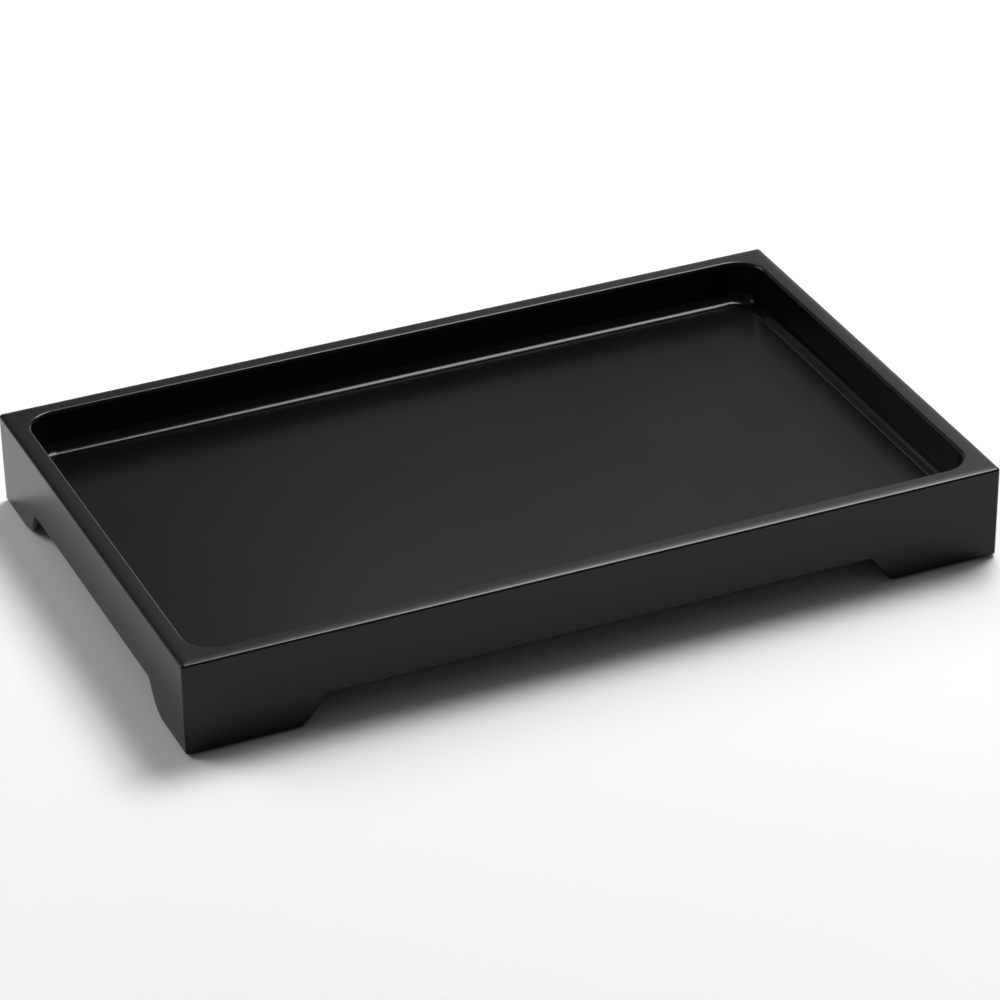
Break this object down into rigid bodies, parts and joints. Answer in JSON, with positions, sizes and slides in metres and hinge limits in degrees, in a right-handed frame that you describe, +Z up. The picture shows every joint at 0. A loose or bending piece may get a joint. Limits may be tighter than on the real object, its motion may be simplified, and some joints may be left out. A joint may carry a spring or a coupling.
{
  "type": "vanity tray",
  "caption": "Rectangular cast resin vanity tray with a flat rim, a shallow round-cornered basin and arched cut-outs between its corner feet.",
  "frame": {"origin": "middle of the footprint, on the surface that the foot pads stand on", "axes": "+X along the tray's length, +Y across it, +Z up out of the basin"},
  "size_m": [0.3302, 0.2032, 0.0389],
  "materials": {
    "lacquered_polyresin": "cast polyresin in satin black lacquer",
    "eva_foam": "matte closed-cell EVA foam",
    "acrylic_adhesive": "acrylic adhesive film"
  },
  "bodies": {
    "root": {"tray_body": "lacquered_polyresin", "foot_pad_front_left": "eva_foam", "foot_pad_front_right": "eva_foam", "foot_pad_back_left": "eva_foam", "foot_pad_back_right": "eva_foam", "pad_adhesive_front_left": "acrylic_adhesive", "pad_adhesive_front_right": "acrylic_adhesive", "pad_adhesive_back_left": "acrylic_adhesive", "pad_adhesive_back_right": "acrylic_adhesive"}
  },
  "joints": []
}
